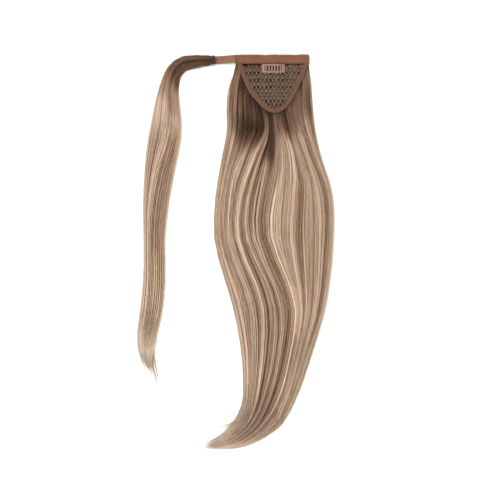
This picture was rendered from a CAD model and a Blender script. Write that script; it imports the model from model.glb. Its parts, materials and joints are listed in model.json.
"""Looks of a wrap-around ponytail hairpiece that lies on its hair, with the netted base turned up.

Drawing lengths are millimetres: x to the right from the middle of the top band, y up from the band's
top edge, z up from the floor. On the base, y runs in the base's own leaning plane and h stands square
to it, from the underside of the net. A hair is named by its place across the hair at the reference
section, 0 at the left edge and 1 at the right, and along is the share of the length from its root.
"""

import json
import math

import bpy
import numpy as np
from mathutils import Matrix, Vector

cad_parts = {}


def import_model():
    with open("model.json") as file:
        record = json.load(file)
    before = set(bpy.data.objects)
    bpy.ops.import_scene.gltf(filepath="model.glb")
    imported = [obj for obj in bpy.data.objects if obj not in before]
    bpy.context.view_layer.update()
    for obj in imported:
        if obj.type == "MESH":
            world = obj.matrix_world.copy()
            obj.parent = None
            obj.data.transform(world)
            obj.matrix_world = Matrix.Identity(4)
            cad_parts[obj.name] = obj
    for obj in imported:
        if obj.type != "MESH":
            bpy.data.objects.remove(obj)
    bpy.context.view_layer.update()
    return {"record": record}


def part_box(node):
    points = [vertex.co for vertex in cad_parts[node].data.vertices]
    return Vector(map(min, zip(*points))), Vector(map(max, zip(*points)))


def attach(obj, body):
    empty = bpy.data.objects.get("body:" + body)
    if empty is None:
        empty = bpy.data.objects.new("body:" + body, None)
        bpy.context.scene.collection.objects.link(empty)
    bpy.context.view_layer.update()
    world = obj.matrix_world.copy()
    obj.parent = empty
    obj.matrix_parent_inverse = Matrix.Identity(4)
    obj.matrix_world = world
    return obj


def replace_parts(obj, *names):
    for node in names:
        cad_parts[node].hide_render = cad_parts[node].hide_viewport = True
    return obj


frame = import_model()

MM = 0.001

# The net, the rows of hair under it, threads and fibres.
NET_PITCH = 5.0
NET_ROW_STEP = 4.41
NET_FIRST_ROW = -10.7
NET_CORD = 0.8
NET_KNOT = (0.75, 0.60, 0.95)  # half width, half length, half height
STITCH_RADIUS = 0.2
STRAP_FIBRES = 900
FOLD_FIBRES = 500
WEFT_ROWS = (-19.5, -28.3, -37.1, -46.0, -50.6, -54.8)

# The photograph's frame.
PHOTO_WIDTH = 625.0
PHOTO_CENTRE = (-27.5, -244.25)
CAMERA_HEIGHT = 3.0
SENSOR = 36.0

# The base, as in the solids.
BAND_LENGTH = 92.5
BAND_HEIGHT = 11.5
BINDING_WIDTH = 5.4
TAPE = 1.0
NET = 1.0
CLEARANCE = 0.3
LEAF_FACE = NET / 2 + CLEARANCE + NET / 2 + TAPE  # the upper leaf's face, over the net's underside
MOUNT_DROP = 6.5  # the head face's middle, below the band's top edge
CLOTH_WALL = 0.8
BASE_EDGE = (
    # x, y
    (-43.2, -12.0),
    (-39.6, -20.0),
    (-36.2, -29.2),
    (-32.2, -39.2),
    (-26.9, -49.0),
    (-18.7, -58.9),
    (-10.0, -67.9),
    (-1.2, -72.7),
    (6.3, -72.9),
    (12.5, -70.5),
    (18.1, -66.6),
    (23.8, -58.6),
    (29.0, -49.0),
    (33.8, -38.6),
    (38.0, -29.2),
    (41.3, -20.0),
    (45.3, -12.0),
)
STRAP_WIDTH = 9.8
STRAP_TOP = -0.6
STRAP_PROFILE = (
    # x, drop of its underside below the net's underside, shift down the base
    (-34.4, 0.0, 0.0),
    (-46.8, 0.0, 0.0),
    (-52.0, 0.5, 0.3),
    (-66.0, 2.3, 1.1),
    (-71.0, 2.6, 1.4),
    (-78.0, 2.6, 1.8),
)

# The snap clip.
CLIP_X = 1.7
CLIP_LENGTH = 29.0
CLIP_TOP = -12.0
CLIP_LOW = -23.4
CLIP_MIDDLE = (CLIP_TOP + CLIP_LOW) / 2
CLIP_PROFILE = (
    # share of the way from the outer edge to the window, height
    *((0.0, 0.10), (0.02, 0.36), (0.07, 0.52), (0.2, 0.62), (0.5, 0.70), (0.8, 0.62)),
    *((0.93, 0.52), (0.98, 0.36), (1.0, 0.10), (0.97, 0.0), (0.03, 0.0)),
)
COMB_LINE = -12.25
COMB_HEIGHT = 2.2
COMB_BOW = 0.5
COMB_HALF = 11.8
TOOTH_PITCH = 3.6
TOOTH_PATH = (
    # distance down from the comb's hinge line, height above it, share of the full width
    (1.3, 0.32, 1.0),
    (3.6, 0.75, 1.0),
    (6.4, 0.85, 1.0),
    (9.6, 0.62, 0.95),
    (11.8, 0.42, 0.8),
    (12.9, 0.34, 0.4),
)

# The hair that falls from the base: where each section's two edges lie, and how thick it is.
FALL = (
    # left x, left y, right x, right y, thickness
    (-44.0, -9.0, 45.0, -9.0, 2.1),
    (-47.0, -19.0, 47.4, -19.0, 3.0),
    (-52.4, -43.0, 49.2, -43.0, 5.3),
    (-53.8, -70.0, 50.2, -70.0, 7.9),
    (-55.0, -96.0, 53.0, -96.0, 10.0),
    (-61.0, -127.0, 59.8, -127.0, 11.0),
    (-68.4, -171.0, 72.4, -166.0, 11.0),
    (-71.0, -206.8, 76.2, -200.5, 11.0),
    (-69.4, -238.0, 75.0, -240.0, 10.8),
    (-61.5, -269.0, 72.0, -276.0, 10.6),
    (-49.5, -308.0, 65.0, -320.0, 10.6),
    (-39.4, -356.8, 48.8, -374.3, 10.4),
    (-35.4, -400.0, 33.0, -421.5, 9.8),
    (-36.3, -435.5, 15.0, -458.0, 8.6),
    (-43.5, -455.5, -2.5, -474.3, 7.4),
    (-57.5, -471.0, -25.0, -486.8, 5.6),
    (-75.0, -482.5, -51.0, -493.0, 4.0),
    (-91.0, -489.5, -83.0, -492.5, 2.4),
)
FALL_HAIRS = (
    *(0, 0.05, 0.117, 0.186, 0.22, 0.253, 0.289, 0.353, 0.40),
    *(0.472, 0.522, 0.642, 0.70, 0.783, 0.889, 0.956, 0.98, 1),
)
FALL_FLOW = (
    # in thousandths: share of the length, then the place across of each named hair
    (0, 0, 100, 240, 340, 380, 410, 440, 475, 500, 535, 560, 630, 670, 720, 780, 850, 920, 1000),
    (100, 0, 100, 250, 360, 395, 420, 440, 475, 510, 550, 565, 625, 660, 715, 775, 845, 905, 1000),
    (125, 0, 100, 270, 420, 445, 465, 482, 498, 515, 555, 570, 630, 665, 720, 780, 850, 910, 1000),
    (150, 0, 100, 275, 430, 455, 475, 490, 508, 525, 570, 590, 650, 690, 740, 790, 860, 920, 1000),
    (180, 0, 90, 244, 395, 435, 458, 475, 497, 518, 585, 600, 690, 725, 761, 822, 900, 945, 1000),
    (200, 0, 85, 220, 345, 390, 420, 445, 477, 520, 597, 615, 711, 745, 778, 844, 911, 955, 1000),
    (225, 0, 75, 180, 309, 345, 372, 400, 450, 517, 598, 622, 717, 755, 789, 861, 922, 962, 1000),
    (250, 0, 62, 150, 272, 310, 339, 372, 433, 495, 568, 597, 711, 757, 806, 872, 933, 968, 1000),
    (275, 0, 55, 132, 238, 277, 308, 338, 410, 465, 544, 578, 700, 755, 811, 875, 942, 974, 1000),
    (300, 0, 50, 122, 209, 250, 283, 308, 390, 440, 522, 560, 678, 740, 806, 878, 950, 980, 1000),
    (350, 0, 48, 114, 186, 220, 252, 283, 356, 405, 480, 533, 653, 712, 783, 883, 961, 983, 1000),
    (400, 0, 50, 117, 186, 220, 253, 289, 353, 400, 472, 522, 642, 700, 785, 889, 956, 980, 1000),
    (450, 0, 60, 144, 217, 260, 300, 344, 394, 455, 522, 561, 656, 715, 794, 885, 952, 980, 1000),
    (500, 0, 75, 167, 261, 320, 372, 417, 461, 533, 594, 622, 694, 740, 800, 894, 950, 980, 1000),
    (550, 0, 90, 205, 317, 372, 439, 478, 550, 606, 678, 700, 739, 778, 822, 900, 950, 980, 1000),
    (600, 0, 100, 222, 328, 395, 469, 515, 583, 639, 717, 732, 772, 800, 833, 906, 950, 978, 1000),
    (650, 0, 100, 222, 322, 395, 472, 522, 583, 639, 717, 735, 783, 805, 833, 900, 945, 975, 1000),
    (700, 0, 100, 209, 306, 372, 456, 505, 572, 633, 714, 735, 784, 806, 835, 895, 940, 970, 1000),
    (750, 0, 100, 205, 289, 350, 430, 480, 561, 628, 717, 737, 789, 810, 838, 895, 940, 970, 1000),
    (800, 0, 100, 200, 283, 333, 400, 452, 533, 605, 690, 725, 800, 825, 850, 900, 945, 970, 1000),
    (840, 0, 110, 205, 278, 333, 387, 437, 507, 568, 635, 700, 795, 825, 860, 910, 950, 975, 1000),
    (875, 0, 140, 235, 310, 365, 425, 480, 555, 615, 667, 730, 820, 850, 880, 920, 955, 978, 1000),
    (900, 0, 170, 260, 335, 400, 467, 530, 589, 644, 700, 760, 845, 870, 900, 935, 965, 982, 1000),
    (1000, 0, 180, 280, 370, 440, 520, 580, 630, 680, 740, 800, 870, 895, 920, 950, 972, 986, 1000),
)

# The strand that wraps round the gathered hair.
STRAND = (
    # outer x, outer y, inner x, inner y, thickness, lift
    (-71.4, -2.5, -71.4, -11.4, 3.2, 3.1),
    (-74.5, -1.8, -74.5, -12.9, 3.6, 3.1),
    (-79.0, -1.0, -79.0, -14.4, 4.2, 3.1),
    (-88.0, -0.8, -86.5, -15.8, 5.4, 2.6),
    (-104.0, -1.0, -101.3, -18.2, 6.4, 1.0),
    (-118.0, -4.8, -111.9, -23.0, 6.6, 0.0),
    (-130.4, -17.2, -115.9, -34.3, 6.6, 0.0),
    (-139.0, -38.0, -117.3, -46.8, 6.4, 0.0),
    (-144.6, -60.5, -116.4, -63.0, 6.2, 0.0),
    (-149.0, -84.3, -114.6, -83.0, 6.0, 0.0),
    (-153.6, -110.5, -115.2, -108.0, 5.8, 0.0),
    (-157.3, -144.3, -122.7, -144.3, 6.0, 0.0),
    (-159.6, -188.0, -130.2, -188.0, 6.0, 0.0),
    (-159.1, -231.8, -134.5, -231.8, 5.8, 0.0),
    (-159.4, -275.5, -134.0, -275.5, 5.4, 0.0),
    (-163.1, -316.8, -137.1, -316.8, 4.8, 0.0),
    (-167.5, -350.5, -144.6, -353.0, 4.0, 0.0),
    (-165.0, -378.0, -148.4, -380.0, 3.0, 0.0),
    (-159.5, -391.5, -149.0, -391.5, 2.2, 0.0),
    (-153.5, -403.0, -146.5, -402.0, 1.6, 0.0),
    (-149.0, -412.0, -143.5, -411.0, 1.2, 0.0),
)
STRAND_HAIRS = (0, 0.22, 0.6, 0.85, 1)
STRAND_FLOW = (
    (0, 0, 400, 700, 880, 1000),
    (120, 0, 420, 740, 900, 1000),
    (200, 0, 520, 800, 920, 1000),
    (264, 0, 640, 840, 930, 1000),
    (300, 0, 600, 820, 930, 1000),
    (340, 0, 540, 790, 920, 1000),
    (370, 0, 450, 760, 910, 1000),
    (420, 0, 360, 700, 900, 1000),
    (465, 0, 300, 650, 880, 1000),
    (550, 0, 220, 600, 860, 1000),
    (650, 0, 210, 600, 850, 1000),
    (750, 0, 280, 620, 860, 1000),
    (1000, 0, 300, 650, 870, 1000),
)

# Highlights and lowlights. Tone runs from 0, the darkest brown, to 1, the palest beige.
FALL_STREAKS = (
    # middle hair, half width, tone, start, stop, which is past 1 where it runs out of the tip
    (0.008, 0.012, 0.61, 0.120, 1.06),
    (0.045, 0.030, 0.49, 0.190, 0.46),
    (0.030, 0.022, 0.64, 0.470, 0.98),
    (0.085, 0.012, 0.53, 0.200, 0.50),
    (0.117, 0.027, 0.68, 0.215, 0.98),
    (0.155, 0.013, 0.44, 0.200, 1.06),
    (0.186, 0.019, 0.82, 0.205, 1.06),
    (0.219, 0.017, 0.49, 0.120, 1.06),
    (0.253, 0.008, 0.82, 0.225, 1.06),
    (0.288, 0.018, 0.46, 0.200, 1.06),
    (0.318, 0.010, 0.63, 0.280, 0.70),
    (0.353, 0.014, 0.75, 0.200, 0.98),
    (0.337, 0.004, 0.10, 0.325, 0.41),
    (0.400, 0.030, 0.48, 0.220, 1.06),
    (0.440, 0.012, 0.59, 0.240, 0.80),
    (0.470, 0.010, 0.86, 0.290, 1.06),
    (0.495, 0.010, 0.65, 0.200, 0.80),
    (0.524, 0.020, 0.79, 0.170, 0.62),
    (0.565, 0.020, 0.63, 0.150, 0.98),
    (0.600, 0.012, 0.66, 0.155, 0.55),
    (0.622, 0.010, 0.58, 0.155, 0.70),
    (0.643, 0.012, 0.82, 0.165, 0.64),
    (0.665, 0.012, 0.63, 0.160, 0.60),
    (0.705, 0.024, 0.52, 0.170, 0.62),
    (0.783, 0.034, 0.73, 0.180, 0.98),
    (0.832, 0.012, 0.47, 0.160, 0.98),
    (0.885, 0.022, 0.70, 0.155, 0.63),
    (0.925, 0.010, 0.58, 0.140, 0.62),
    (0.958, 0.020, 0.41, 0.140, 0.63),
    (0.950, 0.050, 0.63, 0.650, 0.86),
    (0.985, 0.010, 0.67, 0.110, 1.06),
)
FALL_ROOT_TONES = (
    # hair, tone at the root, how far along the root's tone lasts
    (0.00, 0.37, 0.090),
    (0.03, 0.30, 0.140),
    (0.06, 0.25, 0.165),
    (0.12, 0.21, 0.175),
    (0.17, 0.17, 0.175),
    (0.19, 0.28, 0.150),
    (0.20, 0.35, 0.120),
    (0.22, 0.37, 0.120),
    (0.25, 0.36, 0.130),
    (0.272, 0.22, 0.190),
    (0.289, 0.08, 0.215),
    (0.31, 0.16, 0.200),
    (0.353, 0.18, 0.200),
    (0.40, 0.18, 0.225),
    (0.43, 0.28, 0.160),
    (0.472, 0.32, 0.145),
    (0.522, 0.34, 0.145),
    (0.56, 0.38, 0.135),
    (0.60, 0.27, 0.145),
    (0.64, 0.17, 0.155),
    (0.69, 0.13, 0.155),
    (0.73, 0.25, 0.145),
    (0.783, 0.33, 0.135),
    (0.84, 0.33, 0.135),
    (0.889, 0.31, 0.140),
    (0.93, 0.29, 0.125),
    (0.96, 0.31, 0.110),
    (0.98, 0.37, 0.100),
    (1.00, 0.43, 0.100),
)
FALL_BODY_TONES = (
    # share of the length, tone between the streaks
    (0.0, 0.52),
    (0.35, 0.54),
    (0.5, 0.58),
    (0.8, 0.56),
    (0.86, 0.66),
    (0.92, 0.76),
    (1.0, 0.90),
)
STRAND_STREAKS = (
    (0.10, 0.12, 0.56, 0.09, 0.13),
    (0.10, 0.12, 0.42, 0.14, 0.175),
    (0.08, 0.14, 0.76, 0.20, 0.28),
    (0.05, 0.10, 0.54, 0.30, 0.44),
    (0.55, 0.20, 0.49, 0.30, 0.62),
    (0.72, 0.12, 0.43, 0.30, 0.40),
    (0.22, 0.085, 0.74, 0.25, 0.86),
    (0.45, 0.14, 0.51, 0.14, 0.25),
    (0.50, 0.40, 0.69, 0.25, 0.285),
    (0.80, 0.12, 0.51, 0.40, 0.75),
    (0.60, 0.30, 0.66, 0.78, 0.88),
    (0.50, 0.60, 0.86, 0.90, 1.00),
    (0.96, 0.04, 0.61, 0.15, 0.84),
    (0.02, 0.03, 0.61, 0.45, 0.84),
)
STRAND_ROOT_TONES = (
    (0.00, 0.27, 0.120),
    (0.30, 0.19, 0.125),
    (0.50, 0.25, 0.130),
    (0.80, 0.17, 0.150),
    (1.00, 0.29, 0.150),
)
STRAND_BODY_TONES = (
    (0.00, 0.50),
    (0.35, 0.52),
    (0.50, 0.56),
    (0.65, 0.64),
    (0.78, 0.73),
    (0.86, 0.84),
    (0.93, 0.92),
    (1.00, 0.95),
)
ROOT_FADE = 0.045
HAIR_TOP = 12.2
HAIR_RADIUS = 0.17
# The share of the length that the hairs reach, and how much that differs.
FALL_ENDS = (0.945, 0.020)
STRAND_ENDS = (0.93, 0.022)

# Where locks of the fall lie higher or lower than the rest.
FALL_RELIEF = (
    # middle hair, half width, start, stop, rise
    (0.215, 0.035, 0.12, 0.30, 1.2),
    (0.289, 0.014, 0.12, 0.30, -1.6),
    (0.130, 0.060, 0.12, 0.17, -1.2),
    (0.390, 0.030, 0.14, 0.26, -1.0),
    (0.337, 0.006, 0.32, 0.41, -2.0),
    (0.690, 0.040, 0.10, 0.15, -1.0),
)

# Single hairs differ from the chart by fine grain: first all along, then along and across.
GRAIN = (
    # places across, places along, strength
    (260, 9, 0.060),
    (80, 9, 0.045),
)
HAIR_TONE_SPREAD = 0.08
LOCK_TONE_SPREAD = 0.03
LOCK_RELIEF = 0.14
FURROW_DARK = 0.25
END_PALER = 0.20
EDGE_PALER = 0.22

# Loose hairs beside the rest, as lines that a few hairs follow.
WISPS = (
    # (x, y) places in the order root to tip
    ((-35.1, -431.8), (-40.5, -448.0), (-47.6, -458.9), (-62.9, -464.3), (-78.3, -467.9)),
    ((-36.3, -436.8), (-45.0, -454.3), (-51.3, -461.8), (-62.5, -469.3), (-70.0, -474.0)),
    ((-147.5, -369.3), (-146.0, -384.0), (-143.1, -400.5), (-140.0, -411.8)),
    ((-149.5, -372.0), (-149.0, -388.0), (-146.0, -403.0), (-143.0, -414.0)),
    ((-46.0, -20.0), (-52.5, -38.0), (-55.4, -60.0), (-55.2, -84.0), (-57.0, -106.0)),
    ((-47.0, -28.0), (-54.5, -48.0), (-56.2, -70.0), (-56.0, -92.0), (-60.5, -118.0)),
    ((46.0, -20.0), (48.6, -45.0), (50.2, -72.0), (53.4, -100.0), (60.0, -128.0)),
)
WISP_HAIRS = 14
WISP_RADIUS = 0.09
STATIONS = (
    *(0.0, 0.05, 0.09, 0.12, 0.145, 0.165, 0.185, 0.205, 0.23, 0.26, 0.295, 0.34),
    *(0.39, 0.44, 0.50, 0.56, 0.62, 0.68, 0.74, 0.79, 0.84, 0.89, 0.94, 1.0),
)

# Soft shadows that lie on the hair, mostly beside and under the base.
SHADOWS = (
    # x, y, half length, half width, turn in degrees, how dark
    (-20.0, -90.0, 16.0, 8.5, 8.0, 0.52),
    (-39.0, -89.0, 15.0, 9.0, 0.0, 0.34),
    (0.0, -34.0, 42.0, 24.0, 0.0, 0.06),
)
EDGE_SHADOW = (
    # share of the way round the slanted edge, reach, how dark
    (0.00, 3.5, 0.65),
    (0.15, 5.5, 0.82),
    (0.30, 7.5, 0.82),
    (0.42, 8.5, 0.82),
    (0.50, 4.5, 0.70),
    (0.60, 2.5, 0.50),
    (0.70, 3.5, 0.65),
    (0.85, 4.0, 0.70),
    (1.00, 2.0, 0.50),
)

# Colours as they show in even light, in 0 to 255. Pairs are the darkest and the lightest.
HAIR_TONES = (
    # tone, colour
    (0.00, (30, 20, 14)),
    (0.20, (84, 60, 45)),
    (0.40, (140, 107, 83)),
    (0.55, (176, 148, 124)),
    (0.75, (216, 190, 164)),
    (1.00, (246, 225, 202)),
)
HAIR_DEEP = (14, 8, 5)
TAPE_COLOURS = (98, 60, 40), (136, 90, 64)
BINDING_COLOURS = (70, 46, 29), (126, 91, 64)
HOOK_COLOURS = (112, 75, 56), (172, 128, 102)
NET_COLOURS = (88, 73, 59), (152, 134, 110)
WEFT_COLOURS = (84, 60, 43), (150, 113, 84)
ENAMEL = (114, 82, 68), (148, 112, 94)
JOINT_COLOURS = (26, 20, 17), (84, 64, 50)
STITCH_COLOURS = (66, 40, 26), (124, 82, 56)
CLIP_THREAD_COLOURS = (30, 20, 12), (170, 116, 60)


def linear(colour):
    """An 0 to 255 display colour as linear light, with full opacity."""
    share = np.array(colour) / 255
    light = np.where(share < 0.04045, share / 12.92, ((share + 0.055) / 1.055) ** 2.4)
    return (*light.tolist(), 1.0)


# Meshes.


def smooth_rows(table, count):
    """Catmull-Rom curve through the table's rows, as count rows evenly spaced along it."""
    rows = np.array(table, float)
    padded = np.concatenate([2 * rows[:1] - rows[1:2], rows, 2 * rows[-1:] - rows[-2:-1]])
    t = np.linspace(0, 1, 24, endpoint=False)[:, None]
    fine = []
    for before, start, stop, after in zip(padded, padded[1:], padded[2:], padded[3:]):
        bend = 2 * before - 5 * start + 4 * stop - after
        twist = 3 * start - before - 3 * stop + after
        fine.append(start + 0.5 * ((stop - before) * t + bend * t**2 + twist * t**3))
    fine = np.concatenate([*fine, rows[-1:]])
    along = np.append(0, np.cumsum(np.linalg.norm(np.diff(fine, axis=0), axis=1)))
    wanted = np.linspace(0, along[-1], count)
    return np.stack([np.interp(wanted, along, column) for column in fine.T], axis=1)


def grid_faces(rows, columns, round_rows=False, round_columns=False):
    """Corner numbers of a grid's quads. Their normal is the way along a row, crossed with the way
    from row to row."""
    i = np.arange(rows if round_rows else rows - 1)[:, None]
    j = np.arange(columns if round_columns else columns - 1)[None]
    next_i, next_j = (i + 1) % rows, (j + 1) % columns
    corners = (i * columns + j, i * columns + next_j, next_i * columns + next_j, next_i * columns + j)
    return np.stack(np.broadcast_arrays(*corners), axis=-1).reshape(-1, 4)


def piece(name, points, face_sets, material, body="hairpiece", fields=(), uv=None, uv_name="cloth"):
    """A mesh object from places in metres and arrays of faces with equal corner counts. fields are
    numbers for each place, and uv is a flat place for each."""
    mesh = bpy.data.meshes.new(name)
    corners = np.concatenate([faces.ravel() for faces in face_sets]).astype(np.int32)
    sizes = np.concatenate([np.full(len(faces), faces.shape[1]) for faces in face_sets])
    mesh.vertices.add(len(points))
    mesh.vertices.foreach_set("co", np.ascontiguousarray(points, np.float32).ravel())
    mesh.loops.add(len(corners))
    mesh.loops.foreach_set("vertex_index", corners)
    mesh.polygons.add(len(sizes))
    mesh.polygons.foreach_set("loop_start", np.append(0, np.cumsum(sizes)[:-1]).astype(np.int32))
    for field, values in dict(fields).items():
        held = mesh.attributes.new(field, "FLOAT", "POINT")
        held.data.foreach_set("value", np.ascontiguousarray(values, np.float32).ravel())
    if uv is not None:
        layer = mesh.uv_layers.new(name=uv_name)
        layer.uv.foreach_set("vector", np.asarray(uv, np.float32)[corners].ravel())
    mesh.update(calc_edges=True)
    mesh.shade_smooth()
    mesh.materials.append(material)
    obj = bpy.data.objects.new(name, mesh)
    bpy.context.scene.collection.objects.link(obj)
    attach(obj, body)
    return obj


def tube_points(paths, radii, sides, flat=1.0):
    """Rings round many paths at once: path + radius times (cos a across + flat sin a up), where
    across is level and square to the path, and up is square to both."""
    along = np.gradient(paths, axis=1)
    along /= np.linalg.norm(along, axis=2, keepdims=True)
    across = np.cross(along, (0.0, 0.0, 1.0))
    across /= np.linalg.norm(across, axis=2, keepdims=True) + 1e-12
    up = np.cross(across, along)
    turn = 2 * np.pi * np.arange(sides) / sides + np.pi / 2
    ring = np.cos(turn)[:, None] * across[:, :, None] + flat * np.sin(turn)[:, None] * up[:, :, None]
    return paths[:, :, None] + radii[:, :, None, None] * ring


def tube_faces(count, stations, sides):
    """Faces of count closed tubes: quads round each, and a flat cap at both ends."""
    one = grid_faces(stations, sides, round_columns=True)[:, ::-1]
    step = stations * sides
    shift = (np.arange(count) * step)[:, None, None]
    start = np.arange(sides)[None]
    stop = (step - 1 - np.arange(sides))[None]
    sides_set = (one[None] + shift).reshape(-1, 4)
    caps = (np.concatenate([start, stop])[None] + shift).reshape(-1, sides)
    return [sides_set, caps]


def tubes(name, paths, radii, material, sides=3, flat=1.0, fields=(), strips=False, body="hairpiece"):
    """One piece of many closed tubes. Radii, and the numbers in fields, are given for each path and
    station. With strips, each tube has its own upright strip of the map, in the order given."""
    count, stations = paths.shape[:2]
    radii = np.broadcast_to(radii, (count, stations))
    points = tube_points(paths, radii, sides, flat).reshape(-1, 3)
    spread = {
        field: np.repeat(np.broadcast_to(values, (count, stations))[:, :, None], sides, axis=2)
        for field, values in dict(fields).items()
    }
    u = (np.arange(count)[:, None, None] + (np.arange(sides) + 0.5) / sides) / count
    v = np.linspace(0, 1, stations)[None, :, None]
    uv = np.stack(np.broadcast_arrays(u, v), axis=-1).reshape(-1, 2)
    faces = tube_faces(count, stations, sides)
    return piece(name, points, faces, material, body, spread, uv, "OFBake" if strips else "cloth")


# Shaders.


def put(tree, kind, inputs=(), **settings):
    """Adds a node: settings are its properties, and inputs maps its sockets to values or outputs."""
    made = tree.nodes.new(kind)
    for name, value in settings.items():
        setattr(made, name, value)
    for name, value in dict(inputs).items():
        if isinstance(value, bpy.types.NodeSocket):
            tree.links.new(value, made.inputs[name])
        else:
            made.inputs[name].default_value = value
    return made


def maths(tree, operation, first, second):
    """The output of a Math node."""
    return put(tree, "ShaderNodeMath", {0: first, 1: second}, operation=operation).outputs[0]


def spread_to(tree, value, low, high):
    """A value from 0 to 1 carried over to the range from low to high."""
    return put(tree, "ShaderNodeMapRange", {"Value": value, "To Min": low, "To Max": high}).outputs[0]


def swing(tree, value, strength):
    """A value's distance from 0.5, times the strength."""
    return maths(tree, "MULTIPLY", maths(tree, "SUBTRACT", value, 0.5), strength)


def drawn_noise(tree, place, across, down, inputs):
    """Flat noise, with the place's two parts multiplied first."""
    factors = put(tree, "ShaderNodeCombineXYZ", {"X": across, "Y": down}).outputs[0]
    drawn = put(tree, "ShaderNodeVectorMath", {0: place, 1: factors}, operation="MULTIPLY").outputs[0]
    inputs = {"Vector": drawn, **inputs}
    return put(tree, "ShaderNodeTexNoise", inputs, noise_dimensions="2D").outputs["Fac"]


def group(name, inputs):
    """A shader group that gives a colour, a roughness and a height. Its inputs are numbers, colours,
    and a place where no value is given. Returns its tree, its inputs to read and its outputs to set."""
    tree = bpy.data.node_groups.new(name, "ShaderNodeTree")
    for label, value in inputs.items():
        kind = "Vector" if value is None else "Color" if isinstance(value, tuple) else "Float"
        socket = tree.interface.new_socket(label, in_out="INPUT", socket_type="NodeSocket" + kind)
        if value is not None:
            socket.default_value = value
    for label, kind in (("Colour", "Color"), ("Roughness", "Float"), ("Height", "Float")):
        tree.interface.new_socket(label, in_out="OUTPUT", socket_type="NodeSocket" + kind)
    start, stop = tree.nodes.new("NodeGroupInput"), tree.nodes.new("NodeGroupOutput")

    def give(label, socket):
        tree.links.new(socket, stop.inputs[label])

    return tree, start.outputs, give


def ramp(tree, factor, stops):
    """A colour ramp through (place, display colour) stops."""
    made = put(tree, "ShaderNodeValToRGB", {"Fac": factor})
    elements = made.color_ramp.elements
    while len(elements) < len(stops):
        elements.new(0.5)
    for element, (at, colour) in zip(elements, stops):
        element.position = at
        element.color = linear(colour)
    return made.outputs["Color"]


def blend(tree, factor, first, second):
    """The colour output of a Mix node."""
    return put(tree, "ShaderNodeMix", {0: factor, 6: first, 7: second}, data_type="RGBA").outputs[2]


def hair_group():
    """Hair colour from tone and shade: fine lines along the hair shift the tone, the tone picks a
    colour from brown to beige, and the shade takes it down to the deepest brown."""
    inputs = {"Tone": 0.5, "Shade": 1.0, "Place": None, "Line strength": 0.2, "Line pitch": 300.0}
    tree, given, give = group("hair_colour", inputs)
    fine = {"Scale": 1.0, "Detail": 3.0, "Roughness": 0.6}
    lines = drawn_noise(tree, given["Place"], given["Line pitch"], 1.6, fine)
    tone = maths(tree, "ADD", given["Tone"], swing(tree, lines, given["Line strength"]))
    give("Colour", blend(tree, given["Shade"], linear(HAIR_DEEP), ramp(tree, tone, HAIR_TONES)))
    give("Roughness", spread_to(tree, lines, 0.42, 0.6))
    give("Height", lines)
    return tree


def cloth_group():
    """Woven cloth: ribs one way and threads the other, each a sine of its own pitch, coloured from
    dark in the furrows to light on the ribs, with slow mottling."""
    inputs = {
        "Place": None,
        "Dark": (0.1, 0.1, 0.1, 1),
        "Light": (0.5, 0.5, 0.5, 1),
        "Rib pitch": 0.45,
        "Thread pitch": 0.3,
        "Mottle": 0.5,
        "Stretch": 1.0,
    }
    tree, given, give = group("woven_cloth", inputs)
    parts = put(tree, "ShaderNodeSeparateXYZ", {0: given["Place"]}).outputs
    waves = []
    for axis, pitch, strength in (("Y", "Rib pitch", 0.34), ("X", "Thread pitch", 0.14)):
        turns = maths(tree, "DIVIDE", parts[axis], given[pitch])
        wave = maths(tree, "SINE", maths(tree, "MULTIPLY", turns, 2 * math.pi), 0.0)
        waves.append(maths(tree, "MULTIPLY", wave, strength))
    slow = {"Scale": 0.6, "Detail": 4.0, "Roughness": 0.65}
    mottle = drawn_noise(tree, given["Place"], given["Stretch"], 1.0, slow)
    height = maths(tree, "ADD", *waves)
    uneven = maths(tree, "ADD", height, swing(tree, mottle, given["Mottle"]))
    factor = maths(tree, "ADD", uneven, 0.5)
    give("Colour", blend(tree, factor, given["Dark"], given["Light"]))
    give("Roughness", spread_to(tree, factor, 0.95, 0.78))
    give("Height", height)
    return tree


def thread_group():
    """Worn thread: a dark to light colour by an even value, broken up by fine noise."""
    inputs = {
        "Value": 0.5,
        "Dark": (0.1, 0.1, 0.1, 1),
        "Light": (0.5, 0.5, 0.5, 1),
        "Noise scale": 900.0,
        "Noise strength": 0.5,
    }
    tree, given, give = group("thread_colour", inputs)
    place = put(tree, "ShaderNodeTexCoord").outputs["Object"]
    inputs = {"Vector": place, "Scale": given["Noise scale"], "Detail": 3.0}
    noise = put(tree, "ShaderNodeTexNoise", inputs).outputs["Fac"]
    factor = maths(tree, "ADD", given["Value"], swing(tree, noise, given["Noise strength"]))
    give("Colour", blend(tree, factor, given["Dark"], given["Light"]))
    give("Roughness", spread_to(tree, factor, 0.95, 0.75))
    give("Height", noise)
    return tree


HAIR_COLOUR = hair_group()
WOVEN_CLOTH = cloth_group()
THREAD_COLOUR = thread_group()


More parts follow.
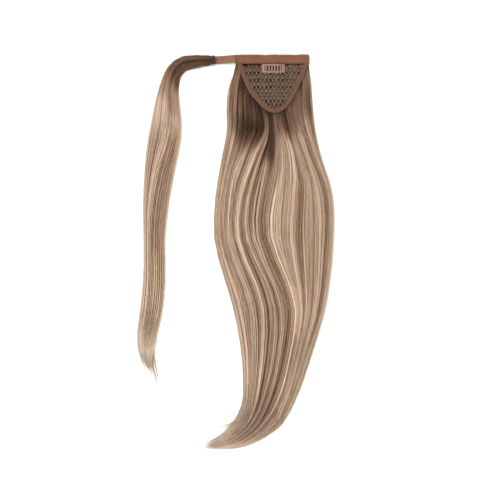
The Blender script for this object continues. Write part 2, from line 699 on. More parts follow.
def material(name, colouring, inputs, bump, distance, sockets, gloss=None):
    """A Principled material coloured by a shader group. A word among the group's inputs names what is
    held on the mesh: a map for its place, and a field for the others."""
    made = bpy.data.materials.new(name)
    made.use_nodes = True
    tree = made.node_tree
    shader = tree.nodes["Principled BSDF"]
    for label, value in inputs.items():
        if label == "Place":
            inputs[label] = put(tree, "ShaderNodeUVMap", uv_map=value).outputs[0]
        elif isinstance(value, str):
            inputs[label] = put(tree, "ShaderNodeAttribute", attribute_name=value).outputs["Fac"]
    given = put(tree, "ShaderNodeGroup", inputs, node_tree=colouring).outputs
    rough = spread_to(tree, given["Height"], *gloss) if gloss else given["Roughness"]
    height = {"Strength": bump, "Distance": distance, "Height": given["Height"]}
    lifted = put(tree, "ShaderNodeBump", height).outputs[0]
    for label, value in (("Base Color", given["Colour"]), ("Roughness", rough), ("Normal", lifted)):
        tree.links.new(value, shader.inputs[label])
    for label, value in sockets.items():
        shader.inputs[label].default_value = value
    return made


def hair_material(name, line_strength, line_pitch, bump, uv_name="OFBake"):
    """Hair whose tone and shade are held on the mesh."""
    inputs = {"Tone": "tone", "Shade": "shade", "Place": uv_name}
    inputs |= {"Line strength": line_strength, "Line pitch": line_pitch}
    return material(name, HAIR_COLOUR, inputs, bump, 0.0003, {"Specular IOR Level": 0.12})


def cloth_material(name, colours, rib, thread, mottle=0.5, bump=0.5, stretch=1.0):
    """Woven cloth that follows the piece's own map, which is in millimetres."""
    inputs = {"Place": "cloth", "Dark": linear(colours[0]), "Light": linear(colours[1])}
    inputs |= {"Rib pitch": rib, "Thread pitch": thread, "Mottle": mottle, "Stretch": stretch}
    sockets = {"Sheen Weight": 0.3, "Specular IOR Level": 0.2}
    return material(name, WOVEN_CLOTH, inputs, bump, 0.0002, sockets)


def thread_material(name, colours, value):
    """Sewing thread and cord, coloured by one value or by a field held on the mesh."""
    inputs = {"Value": value, "Dark": linear(colours[0]), "Light": linear(colours[1])}
    inputs["Noise strength"] = 0.7
    sockets = {"Sheen Weight": 0.2, "Specular IOR Level": 0.2}
    return material(name, THREAD_COLOUR, inputs, 0.4, 0.0001, sockets)


def enamel_material():
    """Smooth enamel with faint unevenness in its colour and gloss."""
    inputs = {"Dark": linear(ENAMEL[0]), "Light": linear(ENAMEL[1]), "Noise scale": 260.0}
    sockets = {"Coat Weight": 0.2, "Coat Roughness": 0.1, "Specular IOR Level": 0.3}
    return material("enamel", THREAD_COLOUR, inputs, 0.05, 0.0001, sockets, (0.2, 0.34))


# The hair.


class Form:
    """One body of hair: its section table, the hairs it names, how they flow, and its streaks."""

    def __init__(self, table, hairs, flow, streaks, root_tones, body_tones, relief=()):
        self.section = smooth_rows(table, 400)
        self.hairs = np.array(hairs, float)
        rows = np.array(flow) / 1000
        fine = np.linspace(0, 1, 201)
        soft = np.stack([np.interp(fine, rows[:, 0], column) for column in rows[:, 1:].T], axis=1)
        weights = np.hanning(11)[1:-1]
        weights /= weights.sum()
        padded = np.concatenate([soft[:1].repeat(4, 0), soft, soft[-1:].repeat(4, 0)])
        self.flow = np.stack([np.convolve(column, weights, "valid") for column in padded.T], axis=1)
        self.streaks = streaks
        self.root_tones = np.array(root_tones)
        self.body_tones = np.array(body_tones)
        self.relief = relief

    def at(self, along):
        """The section table's columns at each place along."""
        places = np.linspace(0, 1, len(self.section))
        return [np.interp(along, places, column) for column in self.section.T]

    def across(self, hair, along):
        """Where a hair lies across its section: the flow table read between its rows and columns,
        and carried on in a straight line past the outermost hairs."""
        hair, along = np.broadcast_arrays(hair, along)
        at = np.clip(along, 0, 1) * 200
        row = np.minimum(at.astype(int), 199)
        part = at - row
        column = np.clip(np.searchsorted(self.hairs, hair, side="right") - 1, 0, len(self.hairs) - 2)
        share = (hair - self.hairs[column]) / (self.hairs[column + 1] - self.hairs[column])
        corners = [
            self.flow[row + i, column] * (1 - share) + self.flow[row + i, column + 1] * share
            for i in (0, 1)
        ]
        return corners[0] * (1 - part) + corners[1] * part

    def crown(self, across):
        """Height of the section's top at a place across it, as a share of the thickness: high over
        most of the width, and falling steeply at both edges."""
        side = np.abs(2 * np.clip(across, 0.002, 0.998) - 1)
        return (1 - side**3.2) ** 0.42

    def place(self, across, along, height):
        """World places from a place across and along the hair and a share of the section's height."""
        columns = self.at(along)
        x = columns[0] + (columns[2] - columns[0]) * across
        y = columns[1] + (columns[3] - columns[1]) * across
        lift = columns[5] if len(columns) > 5 else 0
        return x, y, lift + columns[4] * height

    def tone(self, hair, along):
        """How pale the hair is: the root's tone, then the body's, with every streak laid over it by a
        bell across and soft ends along."""
        root = np.interp(hair, self.root_tones[:, 0], self.root_tones[:, 1])
        lasts = np.interp(hair, self.root_tones[:, 0], self.root_tones[:, 2])
        tone = np.interp(along, self.body_tones[:, 0], self.body_tones[:, 1])
        for middle, half, value, start, stop in self.streaks:
            near = np.exp(-np.abs((hair - middle) / (half * 1.05)) ** 3)
            tone = tone + (value - tone) * near * window(along, start, stop)
        grown = smooth(along, lasts, lasts + ROOT_FADE)
        return root + (tone - root) * grown

    def rise(self, hair, along):
        """How far a lock stands over its neighbours: a bell across with soft ends along."""
        total = np.zeros(np.broadcast(hair, along).shape)
        for middle, half, start, stop, height in self.relief:
            total += height * np.exp(-(((hair - middle) / half) ** 2)) * window(along, start, stop)
        return total


def smooth(value, low, high):
    """0 below low, 1 above high, and an even curve between."""
    share = np.clip((value - low) / (high - low), 0, 1)
    return share * share * (3 - 2 * share)


def window(along, start, stop):
    """1 between start and stop, with soft ends."""
    return smooth(along, start - 0.02, start + 0.02) * (1 - smooth(along, stop - 0.03, stop + 0.04))


fall = Form(
    FALL, FALL_HAIRS, FALL_FLOW, FALL_STREAKS, FALL_ROOT_TONES, FALL_BODY_TONES, FALL_RELIEF
)
strand = Form(
    STRAND, STRAND_HAIRS, STRAND_FLOW, STRAND_STREAKS, STRAND_ROOT_TONES, STRAND_BODY_TONES
)

band_low, band_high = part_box("top_band")
DRAWING_X = (band_low.x + band_high.x) / 2
DRAWING_Y = band_high.y - 0.04 * MM


def world(x, y, z):
    """World places of drawing places."""
    x, y, z = np.broadcast_arrays(x, y, z)
    return np.stack([x * MM + DRAWING_X, y * MM + DRAWING_Y, z * MM], axis=-1)


def shade_at(x, y):
    """How much light reaches the hair at a drawing place: 1, less a soft oval for each shadow, and
    less a band outside the base's slanted edge that fades with the distance from it."""
    light = np.ones_like(x)
    for middle_x, middle_y, half_long, half_wide, turn, dark in SHADOWS:
        turn = math.radians(turn)
        ahead = (x - middle_x) * math.cos(turn) + (y - middle_y) * math.sin(turn)
        aside = (y - middle_y) * math.cos(turn) - (x - middle_x) * math.sin(turn)
        light = light * (1 - dark * np.exp(-((ahead / half_long) ** 4) - (aside / half_wide) ** 2))
    line = smooth_rows(BASE_EDGE, 60)
    shares, reaches, darks = np.array(EDGE_SHADOW).T
    near = np.full(x.shape, np.inf)
    nearest = np.zeros(x.shape, int)
    for number, (edge_x, edge_y) in enumerate(line):
        away = np.hypot(x - edge_x, y - edge_y)
        nearest = np.where(away < near, number, nearest)
        near = np.minimum(away, near)
    share = nearest / (len(line) - 1)
    reach = np.interp(share, shares, reaches)
    return light * (1 - np.interp(share, shares, darks) * np.exp(-((near / reach) ** 2)))


def wander(rng, count, stations, knots, size):
    """Slow random sway for many hairs: random numbers at a few knots, joined by a smooth curve."""
    values = rng.normal(0, size, (count, knots))
    at = np.linspace(0, knots - 1, stations)
    low = np.minimum(at.astype(int), knots - 2)
    part = at - low
    part = part * part * (3 - 2 * part)
    return values[:, low] * (1 - part) + values[:, low + 1] * part


def grain(rng, hair, along):
    """Fine unevenness of the tone: tables of random numbers, read between their rows and columns."""
    total = np.zeros(np.broadcast(hair, along).shape)
    for wide, long, strength in GRAIN:
        table = rng.normal(0, strength, (wide + 1, long + 1))
        across, down = np.clip(hair, 0, 0.999) * wide, np.clip(along, 0, 0.999) * long
        i, j = across.astype(int), down.astype(int)
        part, step = smooth(across - i, 0, 1), smooth(down - j, 0, 1)
        low = table[i, j] * (1 - part) + table[i + 1, j] * part
        high = table[i, j + 1] * (1 - part) + table[i + 1, j + 1] * part
        total += low * (1 - step) + high * step
    return total


def locks_of(middles, rng, scale):
    """The lock that each hair belongs to: its middle, its half width, a tone of its own, and how
    much shorter than the rest it is."""
    widths = scale * (0.010 + 0.022 * rng.random(120))
    edges = np.append(0, np.cumsum(widths))
    number = np.clip(np.searchsorted(edges, middles) - 1, 0, len(widths) - 1)
    centres = (edges[1:] + edges[:-1]) / 2
    tones = rng.normal(0, LOCK_TONE_SPREAD, 120)
    return centres[number], widths[number] / 2, tones[number], 0.03 * rng.random(120)[number]


def hairs(name, form, middles, locks, rng, finish, fray):
    """Many single hairs as thin closed tubes. Each keeps to its place in the flow table, is drawn
    towards the middle of its lock on the way down, sways a little, and ends at its own length, pale
    and lying on the floor. It lies lower and darker near the edge of its lock, which leaves a furrow
    between locks."""
    count, stations = len(middles), len(STATIONS)
    centre, half, own_tone, short = (values[:, None] for values in locks)
    middles = middles[:, None]
    t = np.array(STATIONS)[None]
    start = 0.004 * rng.random((count, 1))
    reach = np.clip(fray[0] - 0.6 * short + fray[1] * rng.normal(0, 1, (count, 1)), 0.6, 1.0)
    along = start + (reach - start) * t
    pull = 0.08 + 0.5 * along**2
    outside = np.clip(middles, 0, 1) - middles
    hair = middles + (centre - middles) * pull * (outside == 0)
    hair = hair + wander(rng, count, stations, 7, 0.002)
    across = form.across(np.clip(hair, 0, 1), along) - outside * smooth(along, 0.03, 0.15)
    held = np.clip(across, 0.004, 0.996)
    depth = 0.22 * rng.random((count, 1)) ** 1.6
    aside = np.clip(np.abs(middles - centre) / half, 0, 1)
    fallen = smooth(t, 0.80, 1.0) * smooth(along, 0.70, 0.85)
    height = form.crown(held) * (1 - depth - LOCK_RELIEF * aside**3) * (1 - 0.85 * fallen)
    rim = np.exp(-np.minimum(held, 1 - held) / 0.02)
    height = height * (1 - rim * (1 - rng.random((count, 1)) ** 0.6))
    x, y, z = form.place(across, along, height)
    z = z + form.rise(hair, along)
    thin = 1 - 0.65 * np.clip((t - 0.8) / 0.2, 0, 1)
    width = HAIR_RADIUS * (0.75 + 0.5 * rng.random((count, 1))) * thin
    z = np.clip(z, width * 1.1 + 0.05, HAIR_TOP)
    late = along - rng.normal(0, 0.006, (count, 1))
    tone = form.tone(middles + rng.normal(0, 0.001, (count, 1)), late) + own_tone
    tone = tone + grain(np.random.default_rng(11), hair, along)
    tone = tone + rng.normal(0, HAIR_TONE_SPREAD, (count, 1)) + 0.12 * np.abs(outside) / 0.01
    tone = tone + END_PALER * smooth(t, 0.90, 1.0) + EDGE_PALER * rim * smooth(along, 0.15, 0.3)
    furrow = 1 - FURROW_DARK * aside**6 * np.clip(along / 0.2, 0.4, 1)
    shade = shade_at(x, y) * furrow * (1 - 1.4 * depth)
    fields = {"tone": np.clip(tone, 0.02, 1), "shade": shade}
    made = tubes(name, world(x, y, z), width * MM, finish, fields=fields, strips=True)
    return made


def hair_body(name, form, finish, stop, half=48, rows=170):
    """The mass under the single hairs, a closed surface: its top follows the crown, a little lower,
    its underside lies flat on the floor, and it sinks and narrows under the hairs' ends."""
    top = 0.5 - 0.5 * np.cos(np.linspace(0, math.pi, half))
    along = np.linspace(0, stop, rows)[:, None]
    sunk = np.clip((along / stop - 0.74) / 0.26, 0, 1)
    inset = 0.016 + 0.30 * sunk**4
    across = inset + (1 - 2 * inset) * top
    profile = (1 - np.abs(2 * top - 1) ** 2.6) ** 0.5
    height = np.maximum(0.72 * form.crown(across) * profile * (1 - 0.9 * sunk), 0.05)
    across = np.concatenate([across, across[:, -2:0:-1]], axis=1)
    height = np.concatenate([height, np.full((rows, half - 2), 0.05)], axis=1)
    around = across.shape[1]
    along = np.broadcast_to(along, across.shape)
    x, y, z = form.place(across, along, height)
    hair = hair_of(form, across, along)
    z = np.maximum(z + np.where(height > 0.05, form.rise(hair, along), 0), 0.05)
    ending = smooth(along, stop * 0.75, stop)
    tone = form.tone(hair, along) - 0.14 + 0.20 * ending
    faces = grid_faces(rows, around, round_columns=True)
    caps = np.stack([np.arange(around)[::-1], (rows - 1) * around + np.arange(around)])
    uv = np.stack([hair, along], axis=-1).reshape(-1, 2)
    fields = {"tone": np.clip(tone, 0, 1), "shade": shade_at(x, y) * (0.8 + 0.2 * ending)}
    points = world(x, y, z).reshape(-1, 3)
    made = piece(name, points, [faces, caps], finish, "hairpiece", fields, uv, "strands")
    return made


def hair_of(form, across, along):
    """Which hair lies at a place across, by reading the flow table backwards."""
    names = np.linspace(0, 1, 201)
    found = np.empty_like(across)
    for row in range(len(across)):
        lies = form.across(names, along[row, 0])
        found[row] = np.interp(across[row], lies, names)
    return found


def spaced(rng, count, edge_share=0.05, stray=0.012):
    """Hair places, evenly spread with a little disorder, and a few just outside both edges, in
    order."""
    even = (np.arange(count) + rng.random(count)) / count
    from_edge = np.minimum(even, 1 - even)
    even = even[rng.random(count) < 0.5 + 0.5 * smooth(from_edge, 0, 0.012)]
    extra = rng.random(int(count * edge_share)) ** 2.2 * stray
    both = np.where(rng.random(len(extra)) < 0.5, -extra, 1 + extra)
    return np.sort(np.concatenate([even, both]))


def make_hair():
    """The fall in four pieces, left to right, its body, the wrap strand and its body."""
    rng = np.random.default_rng(7)
    finish = hair_material("hair", 0.10, 2.0, 0.0)
    mass = hair_material("hair_mass", 0.5, 420.0, 0.6, "strands")
    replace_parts(hair_body("fall_body", fall, mass, 0.95), "hair_fall")
    places = spaced(rng, 4700)
    locks = locks_of(places, rng, 1.0)
    for number, some in enumerate(np.array_split(np.arange(len(places)), 4), 1):
        theirs = [values[some] for values in locks]
        hairs(f"fall_hair_{number}", fall, places[some], theirs, rng, finish, FALL_ENDS)
    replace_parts(hair_body("strand_body", strand, mass, 0.94), "wrap_strand")
    places = spaced(rng, 1000, 0.10, 0.06)
    hairs("strand_hair", strand, places, locks_of(places, rng, 4.0), rng, finish, STRAND_ENDS)
    make_wisps(rng, finish)


def make_wisps(rng, finish):
    """Loose hairs beside the rest: each line drawn smooth and shifted a little for every hair, which
    keeps low and ends at its own length."""
    paths = []
    for line in WISPS:
        for _ in range(WISP_HAIRS):
            shift = rng.normal(0, 0.5, 2)
            drift = np.linspace(0, 1, 40)[:, None] * rng.normal(0, 0.9, 2)
            flat = smooth_rows(line, 40) + shift + drift
            at = np.linspace(8 * rng.random(), 39 - 14 * rng.random() ** 1.5, 14)
            x, y = (np.interp(at, np.arange(40), column) for column in flat.T)
            z = 0.35 + 2.0 * np.sin(np.linspace(1.2, 0, 14)) * rng.random()
            paths.append(world(x, y, z))
    fields = {"tone": rng.uniform(0.55, 0.8, (len(paths), 1)), "shade": 1.0}
    radii = WISP_RADIUS * MM * np.linspace(1, 0.5, 14)
    tubes("loose_hair", np.array(paths), radii, finish, fields=fields, strips=True)


# The base.


def base_plane():
    """The base plane's origin, its way up the base and its way out, from where the band's face is."""
    mount = next(m for m in frame["record"]["mounts"] if m["name"] == "head_face")
    out = np.array(mount["axis"])
    up = np.array([0.0, out[2], -out[1]])
    return np.array(mount["pos_m"]) - LEAF_FACE * MM * out + MOUNT_DROP * MM * up, up, out


BASE_ORIGIN, BASE_UP, BASE_OUT = base_plane()


def on_base(x, y, h):
    """World places of base places: origin + x across + y up the base + h out of it."""
    x, y, h = (np.asarray(v)[..., None] * MM for v in np.broadcast_arrays(x, y, h))
    return BASE_ORIGIN + x * np.array([1.0, 0.0, 0.0]) + y * BASE_UP + h * BASE_OUT


def edge_line(inset, count):
    """The slanted edge of the base, moved inwards by the inset, with its inward normals."""
    line = smooth_rows(BASE_EDGE, count)
    along = np.gradient(line, axis=0)
    along /= np.linalg.norm(along, axis=1)[:, None]
    inward = np.stack([-along[:, 1], along[:, 0]], axis=1)
    return line + inset * inward, inward


def folded_tape(reach):
    """The middle line of a tape folded over the base's edge: a lower leaf, a half circle round the
    edge and an upper leaf, as distances in from the fold's face and heights over the net."""
    middle = NET / 2
    radius = middle + CLEARANCE + TAPE / 2
    centre = radius + TAPE / 2
    turn = np.radians(np.linspace(-90, -270, 9))
    fold = np.stack([np.cos(turn), np.sin(turn)], axis=1) * radius + (centre, middle)
    lower = np.stack([np.linspace(reach, centre, 8), np.full(8, middle - radius)], axis=1)
    upper = np.stack([np.linspace(centre, reach, 8), np.full(8, middle + radius)], axis=1)
    return np.concatenate([lower[:-1], fold, upper[1:]])


def lengths(line):
    """Distance along a line of places, from its first."""
    return np.append(0, np.cumsum(np.linalg.norm(np.diff(line, axis=0), axis=1)))


def cloth(name, points, uv, finish, node):
    """A woven piece: an open grid surface made a wall, declared with its flat size. A tape narrower
    than a declared side may be is given as a wider cut with its own area."""
    faces = grid_faces(*points.shape[:2])
    uv = np.stack(np.broadcast_arrays(*uv), axis=-1).reshape(-1, 2)
    made = piece(name, points.reshape(-1, 3), [faces], finish, uv=uv)
    wall = made.modifiers.new("thickness", "SOLIDIFY")
    wall.thickness = CLOTH_WALL * MM
    wall.offset = 0
    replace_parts(made, node)


def make_band():
    """The tape over the top edge: the folded line carried across the base, with a faint wave where
    the fold isn't drawn quite even."""
    finish = cloth_material("band_tape", TAPE_COLOURS, 0.62, 0.4, 1.6, 0.5, 0.12)
    section = folded_tape(BAND_HEIGHT)
    arc = lengths(section)
    x = np.linspace(-BAND_LENGTH / 2, BAND_LENGTH / 2, 140)[:, None]
    wave = 0.45 - 0.7 * np.cos(x / 46.0) + 0.2 * np.sin(x / 5.3) + 0.14 * np.sin(x / 2.9 + 1.0)
    ripple = 0.10 * np.sin(x / 4.1 + 2.0)
    y = -section[:, 0] + wave * np.exp(-section[:, 0] / 3.0)
    grid = on_base(x, y, section[:, 1] + ripple * np.sign(section[:, 1] - 0.5) * 0.6)
    cloth("top_band_tape", grid, (x, arc[None]), finish, "top_band")


def make_binding():
    """The narrow tape over the slanted edges and the tip: the folded line carried round the edge,
    with small puckers."""
    finish = cloth_material("binding_tape", BINDING_COLOURS, 0.9, 0.55, 1.5)
    line, inward = edge_line(-0.5, 170)
    for end in (0, -1):
        inward[end] = (1 / inward[end, 0], 0)
    section = folded_tape(BINDING_WIDTH)
    arc, run = lengths(section), lengths(line)
    flat_place = line[:, None] + inward[:, None] * section[None, :, :1]
    pucker = 0.10 * np.sin(run * 2 * np.pi / 3.1)[:, None] * np.sign(section[None, :, 1] - 0.5)
    grid = on_base(flat_place[..., 0], flat_place[..., 1], section[None, :, 1] + pucker)
    uv = (run[:, None], arc[None])
    cloth("edge_binding_tape", grid, uv, finish, "edge_binding")


def make_strap():
    """The tab of hook tape: a flat strip carried along its profile, with its long sides curled up."""
    finish = cloth_material("hook_tape", HOOK_COLOURS, 0.8, 0.8, 0.9, 0.8)
    rows = smooth_rows(STRAP_PROFILE, 60)
    across = np.linspace(STRAP_TOP, STRAP_TOP - STRAP_WIDTH, 12)[None]
    curl = 0.18 * (2 * (across - across.mean()) / STRAP_WIDTH) ** 2
    x, drop, shift = rows.T[:, :, None]
    grid = on_base(x, across - shift, TAPE / 2 - drop + curl)
    run = lengths(rows)
    cloth("strap_tape", grid, (run[:, None], across), finish, "wrap_strap")


def knot_shapes(places, sizes, rings, sides):
    """Many small closed ovals, from a ball's latitude and longitude grid with a point at each pole."""
    tall = np.pi * np.arange(1, rings) / rings
    turn = 2 * np.pi * np.arange(sides) / sides
    ball = np.stack(
        [
            np.sin(tall)[:, None] * np.cos(turn),
            np.sin(tall)[:, None] * np.sin(turn),
            np.cos(tall)[:, None] * np.ones(sides),
        ],
        axis=-1,
    ).reshape(-1, 3)
    ball = np.concatenate([ball, [[0, 0, 1], [0, 0, -1]]])
    points = places[:, None] + ball[None] * sizes[:, None]
    count, step = len(places), len(ball)
    quads = grid_faces(rings - 1, sides, round_columns=True)[:, ::-1]
    ring = np.arange(sides)
    top = np.stack([ring, np.roll(ring, -1), np.full(sides, step - 2)], axis=1)
    last = (rings - 2) * sides
    under = np.stack([last + np.roll(ring, -1), last + ring, np.full(sides, step - 1)], axis=1)
    shift = (np.arange(count) * step)[:, None, None]
    quads = (quads[None] + shift).reshape(-1, 4)
    ends = (np.concatenate([top, under])[None] + shift).reshape(-1, 3)
    return points.reshape(-1, 3), quads, ends


def make_net():
    """The knotted net: knots in staggered rows, and from each knot two cords to the row below, each a
    thin tube that sets off straight down and runs aside in between."""
    rng = np.random.default_rng(3)
    outline, _ = edge_line(2.2, 120)
    rows, columns = np.arange(16), np.arange(-11, 12)
    x = columns[None] * NET_PITCH + (rows[:, None] % 2) * NET_PITCH / 2 - 1.9
    y = NET_FIRST_ROW - rows[:, None] * NET_ROW_STEP + np.zeros_like(x)
    x = x + rng.normal(0, 0.22, x.shape)
    y = y + rng.normal(0, 0.18, y.shape)
    spots = np.stack([x, y], axis=-1)
    kept = inside(outline, spots.reshape(-1, 2)).reshape(x.shape)
    starts, stops = [], []
    for row in rows[:-1]:
        for side in (0, 1):
            source = np.arange(len(columns))
            target = source + side - 1 + row % 2
            fits = (target >= 0) & (target < len(columns))
            a, b = source[fits], target[fits]
            both = kept[row, a] | kept[row + 1, b]
            starts.append(spots[row, a[both]])
            stops.append(spots[row + 1, b[both]])
    starts, stops = np.concatenate(starts)[:, None], np.concatenate(stops)[:, None]
    t = np.linspace(0, 1, 6)
    paths = starts + (stops - starts) * np.stack([smooth(t, 0, 1), t], axis=1)
    whole = inside(outline, paths.reshape(-1, 2)).reshape(paths.shape[:2]).all(axis=1)
    paths = paths[whole]
    h = NET / 2 + 0.15 * np.sin(np.pi * t)[None] + rng.normal(0, 0.05, (len(paths), 1))
    places = on_base(paths[..., 0], paths[..., 1], h)
    cord = tube_points(places, np.full(h.shape, NET_CORD * MM), 5).reshape(-1, 3)
    knots = on_base(x[kept], y[kept], NET / 2 + 0.2)
    sizes = np.array(NET_KNOT) * MM * rng.uniform(0.8, 1.2, (len(knots), 1))
    oval, quads, ends = knot_shapes(knots, sizes, 5, 8)
    cord_worn = np.repeat(rng.uniform(-0.15, 0.2, len(places)), len(t) * 5)
    knot_worn = np.repeat(rng.uniform(0.35, 0.95, len(knots)), len(oval) // len(knots))
    faces = [*tube_faces(len(places), len(t), 5), quads + len(cord), ends + len(cord)]
    finish = thread_material("net_cord", NET_COLOURS, "worn")
    fields = {"worn": np.concatenate([cord_worn, knot_worn])}
    made = piece("net_cords", np.concatenate([cord, oval]), faces, finish, fields=fields)
    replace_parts(made, "net_panel")


def inside(outline, points):
    """Which points lie inside a closed outline, by counting the edges to their right."""
    start, stop = outline, np.roll(outline, -1, axis=0)
    x, y = points[:, :1], points[:, 1:]
    spans = (start[:, 1] > y) != (stop[:, 1] > y)
    rise = np.where(stop[:, 1] == start[:, 1], 1e-9, stop[:, 1] - start[:, 1])
    crossing = start[:, 0] + (y - start[:, 1]) * (stop[:, 0] - start[:, 0]) / rise
    return (spans & (x < crossing)).sum(axis=1) % 2 == 1


def make_wefts():
    """Rows of hair sewn under the net: a flat cord across for each, with a slow wave."""
    finish = thread_material("weft", WEFT_COLOURS, 0.55)
    outline, _ = edge_line(2.2, 400)
    paths = []
    for y in WEFT_ROWS:
        near = outline[np.abs(outline[:, 1] - y) < 0.6]
        x = np.linspace(near[near[:, 0] < 0, 0].max(), near[near[:, 0] > 0, 0].min(), 60)
        paths.append(on_base(x, y + 0.25 * np.sin(x / 6 + y), -0.75))
    made = tubes("weft_rows", np.array(paths), 0.95 * MM, finish, sides=8, flat=0.5)


def stitches(line, pitch, gap=0.22, sink=0.3):
    """Stitches along a line of base places: equal lengths of thread, each an arch whose two ends
    sink into the cloth."""
    run = lengths(line)
    count = int(run[-1] / pitch)
    t = np.linspace(0, 1, 5)
    at = (np.arange(count)[:, None] + gap / 2 + (1 - gap) * t[None]) * pitch
    x, y, h = (np.interp(at, run, column) for column in line.T)
    return on_base(x, y, h + sink * (np.sin(np.pi * t)[None] - 0.7))


def make_stitches():
    """Machine stitches: two rows along the band, the box that holds the strap and two rows round the
    binding, and over those an overcast zigzag."""
    finish = thread_material("stitch_thread", STITCH_COLOURS, 0.45)
    top = LEAF_FACE - 0.1
    # start x, start y, stop x, stop y, pitch
    rows = [(-45.4, y, 45.4, y, 2.6) for y in (-1.9, -10.2)]
    rows += [(x + step, -1.6, x + step, -10.2, 1.7) for x in (-43.9, -35.4) for step in (0, 0.5)]
    rows.append((40.5, -6.0, 45.0, -6.4, 1.7))
    paths = []
    for x, y, stop_x, stop_y, pitch in rows:
        paths.append(stitches(smooth_rows(((x, y, top), (stop_x, stop_y, top)), 30), pitch))
    for inset in (4.0, 1.4):
        line, _ = edge_line(inset, 400)
        paths.append(stitches(np.column_stack([line, np.full(400, top)]), 2.4))
    made = tubes("machine_stitches", np.concatenate(paths), STITCH_RADIUS * MM, finish, sides=5)
    line, inward = edge_line(0.0, 210)
    reach = np.where(np.arange(210) % 2, 0.6, 4.6)[:, None]
    zigzag = np.column_stack([line + inward * reach, np.full(210, top)])
    t = np.linspace(0, 1, 5)[None, :, None]
    places = zigzag[:-1, None] * (1 - t) + zigzag[1:, None] * t
    lift = 0.16 * (np.sin(np.pi * t[..., 0]) - 0.4)
    cords = on_base(places[..., 0], places[..., 1], places[..., 2] + lift)
    finish = thread_material("overcast_thread", BINDING_COLOURS, 0.62)
    made = tubes("overcast_stitches", cords, STITCH_RADIUS * MM, finish, sides=4)


def make_fuzz():
    """Short fibres: hooks standing on the strap, and worn fibres along the band's top fold."""
    rng = np.random.default_rng(5)
    rows = smooth_rows(STRAP_PROFILE, 60)
    x = rng.uniform(-71.5, -46.6, STRAP_FIBRES)
    shift, drop = (np.interp(-x, -rows[:, 0], rows[:, k]) for k in (2, 1))
    y = STRAP_TOP - rng.uniform(-0.2, STRAP_WIDTH + 0.2, STRAP_FIBRES) - shift
    x = np.append(x, rng.uniform(-46.0, 46.0, FOLD_FIBRES))
    y = np.append(y, 0.2 + 0.35 * rng.random(FOLD_FIBRES))
    h = np.append(TAPE - drop, rng.uniform(0.6, 2.0, FOLD_FIBRES))
    lean = rng.normal(0, 0.42, (len(x), 2))
    lean[STRAP_FIBRES:, 1] += 0.25
    t = np.array([0.0, 0.5, 1.0])
    places = on_base(x[:, None] + lean[:, :1] * t, y[:, None] + lean[:, 1:] * t, h[:, None] + 0.45 * t)
    made = tubes("tape_fuzz", places, 0.07 * MM, thread_material("tape_fuzz", HOOK_COLOURS, 0.8))


def make_joint_threads():
    """Dark thread wound round the strap's end and the head of the strand: leaning ovals, each a
    little different, with loose ends."""
    rng = np.random.default_rng(9)
    turn = np.linspace(0, 2 * np.pi, 25)[None]
    middle = (-71.2 - 0.40 * np.arange(8))[:, None] + rng.normal(0, 0.16, (8, 1))
    lean = rng.normal(0, 0.6, (8, 1))
    wide, tall = 4.8 + rng.normal(0, 0.35, (8, 1)), 2.9 + rng.normal(0, 0.1, (8, 1))
    loops = world(middle + lean * np.cos(turn), -6.95 + wide * np.cos(turn), 4.0 + tall * np.sin(turn))
    finish = thread_material("joint_thread", JOINT_COLOURS, 0.5)
    made = tubes("joint_thread", loops, 0.36 * MM, finish, sides=6)
    start = np.stack([rng.uniform(-74.0, -71.0, 9), np.where(rng.random(9) < 0.5, -1.4, -12.8)], axis=1)
    way = np.stack([rng.normal(0, 0.8, 9), np.sign(start[:, 1] + 7.0) * rng.uniform(0.5, 1.5, 9)], axis=1)
    t = np.linspace(0, 1, 6)
    ends = world(start[:, :1] + way[:, :1] * t, start[:, 1:] + way[:, 1:] * t, 4.2)
    made = tubes("joint_thread_ends", ends, 0.2 * MM, finish, sides=4)


def make_base():
    """Everything sewn: band, binding, strap, net and the rows of hair under it, and the threads."""
    make_band()
    make_binding()
    make_strap()
    make_net()
    make_wefts()
    make_stitches()
    make_fuzz()
    make_joint_threads()


# The clip's own pieces.


def rounded_loop(left, low, right, high, radius):
    """A rectangle's outline with quarter-circle corners, anticlockwise from the lower right one."""
    corners = ((right, low, -90), (right, high, 0), (left, high, 90), (left, low, 180))
    loop = []
    for x, y, first in corners:
        turn = np.radians(np.linspace(first, first + 90, 9))
        middle = (x - radius * np.sign(x - CLIP_X), y - radius * np.sign(y - CLIP_MIDDLE))
        loop.append(np.stack([np.cos(turn), np.sin(turn)], axis=1) * radius + middle)
    return np.concatenate(loop)


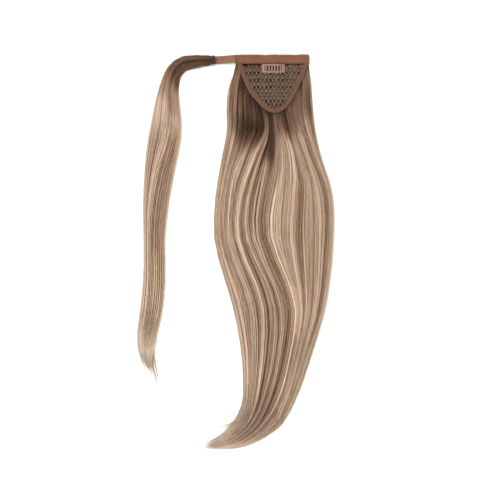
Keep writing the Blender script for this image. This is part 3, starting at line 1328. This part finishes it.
def make_clip():
    """The snap clip. Its frame is a rounded ring: every place between the window's loop and the outer
    loop is a blend of the two, raised by a crowned profile. The comb is an oval bar with six
    tapering oval teeth. Threads run through the sewing holes and over the upper bar."""
    finish = enamel_material()
    left, right = CLIP_X - CLIP_LENGTH / 2, CLIP_X + CLIP_LENGTH / 2
    outer = rounded_loop(left, CLIP_LOW, right, CLIP_TOP, 1.7)
    inner = rounded_loop(left + 4.0, CLIP_LOW + 2.8, right - 4.0, CLIP_TOP - 2.9, 0.7)
    share, rise = np.array(CLIP_PROFILE).T
    ring = outer[:, None] * (1 - share)[None, :, None] + inner[:, None] * share[None, :, None]
    bow = 0.35 * (1 - ((ring[..., 0] - CLIP_X) / (CLIP_LENGTH / 2)) ** 2)
    points = on_base(ring[..., 0], ring[..., 1], NET + CLEARANCE + rise[None] + bow)
    faces = grid_faces(len(outer), len(share), round_rows=True, round_columns=True)[:, ::-1]
    made = piece("clip_plate", points.reshape(-1, 3), [faces], finish)
    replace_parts(made, "clip_frame")
    x = np.linspace(-COMB_HALF, COMB_HALF, 25)
    height = COMB_HEIGHT + 0.3 + COMB_BOW * (1 - (x / COMB_HALF) ** 2)
    bar = on_base(CLIP_X + x, COMB_LINE - 1.35, height)[None]
    taper = np.clip((1 - np.abs(x / COMB_HALF) ** 10), 0.25, 1)
    parts = [tubes("comb_bar", bar, 1.35 * MM * taper, finish, 12, 0.24, body="comb")]
    down, height, width = smooth_rows(TOOTH_PATH, 16).T
    x = (CLIP_X + (np.arange(6) - 2.5) * TOOTH_PITCH)[:, None]
    bow = COMB_BOW * (1 - ((x - CLIP_X) / COMB_HALF) ** 2)
    teeth = on_base(x, COMB_LINE - down, COMB_HEIGHT + height + bow + 0.2)
    parts.append(tubes("comb_teeth", teeth, 0.85 * MM * width, finish, 12, 0.3, body="comb"))
    for part in parts:
        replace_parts(part, "clip_comb")
    make_clip_threads(left, right)


def make_clip_threads(left, right):
    """Sewing thread on the clip: a dark eye at each hole, two threads from it round the plate's end,
    and two round the middle of the upper bar."""
    rng = np.random.default_rng(4)
    top = NET + CLEARANCE + 0.62
    side = np.repeat((-1, 1), 3)
    hole_x = np.where(side < 0, left + 1.8, right - 1.8)
    hole_y = CLIP_MIDDLE + np.tile((-1, 0, 1), 2) * 3.9
    sizes = np.array([[0.72, 0.72, 0.16]]) * MM * np.ones((6, 1))
    oval, quads, ends = knot_shapes(on_base(hole_x, hole_y, top), sizes, 5, 10)
    finish = thread_material("clip_thread", CLIP_THREAD_COLOURS, "worn")
    made = piece("clip_eyes", oval, [quads, ends], finish, fields={"worn": np.full(len(oval), -0.1)})
    t = np.linspace(0, 1, 9)
    side, hole_x, hole_y = (np.repeat(values, 2)[:, None] for values in (side, hole_x, hole_y))
    x, y = hole_x + side * 2.6 * t, hole_y + rng.normal(0, 0.7, (12, 1)) * t
    loops = [on_base(x, y, top + 0.25 - 1.5 * np.clip(t - 0.62, 0, 1) / 0.38)]
    over_x = np.array([[0.7], [1.2]]) + 0.3 * t
    height = top + 0.62 - 1.2 * np.abs(2 * t - 1) ** 4
    loops.append(on_base(over_x, np.linspace(-11.4, -15.6, 9), height))
    worn = np.append(rng.uniform(0.3, 1.0, 12), (0.85, 0.95))[:, None]
    loops = np.concatenate(loops)
    made = tubes("clip_thread", loops, 0.28 * MM, finish, 6, fields={"worn": worn})


# Floor, light and camera.


def make_stage():
    """A pale floor, soft light from all round with a broad lamp above, and the camera overhead."""
    bpy.ops.mesh.primitive_plane_add(size=8)
    floor = bpy.context.object
    floor.name = "floor"
    paint = bpy.data.materials.new("floor_paint")
    paint.use_nodes = True
    shader = paint.node_tree.nodes["Principled BSDF"]
    shader.inputs["Base Color"].default_value = (0.94, 0.94, 0.94, 1)
    shader.inputs["Roughness"].default_value = 1.0
    shader.inputs["Specular IOR Level"].default_value = 0.0
    floor.data.materials.append(paint)
    scene = bpy.context.scene
    scene.world = bpy.data.worlds.new("studio")
    scene.world.use_nodes = True
    sky = scene.world.node_tree.nodes["Background"]
    sky.inputs["Color"].default_value = (1, 1, 1, 1)
    sky.inputs["Strength"].default_value = 0.9
    lamp = bpy.data.lights.new("soft_box", "AREA")
    lamp.shape = "RECTANGLE"
    lamp.size, lamp.size_y = 1.6, 1.2
    lamp.energy = 22
    box = bpy.data.objects.new("soft_box", lamp)
    box.location = (-0.5, 0.7, 1.5)
    box.rotation_euler = (math.radians(-25), math.radians(-18), 0)
    scene.collection.objects.link(box)
    camera = bpy.data.cameras.new("camera")
    camera.sensor_width = SENSOR
    camera.lens = SENSOR * CAMERA_HEIGHT / (PHOTO_WIDTH * MM)
    camera.clip_end = 20
    eye = bpy.data.objects.new("camera", camera)
    eye.location = (*world(*PHOTO_CENTRE, 0.0)[:2], CAMERA_HEIGHT)
    scene.collection.objects.link(eye)
    scene.camera = eye
    scene.view_settings.view_transform = "Standard"


make_stage()
make_hair()
make_base()
make_clip()
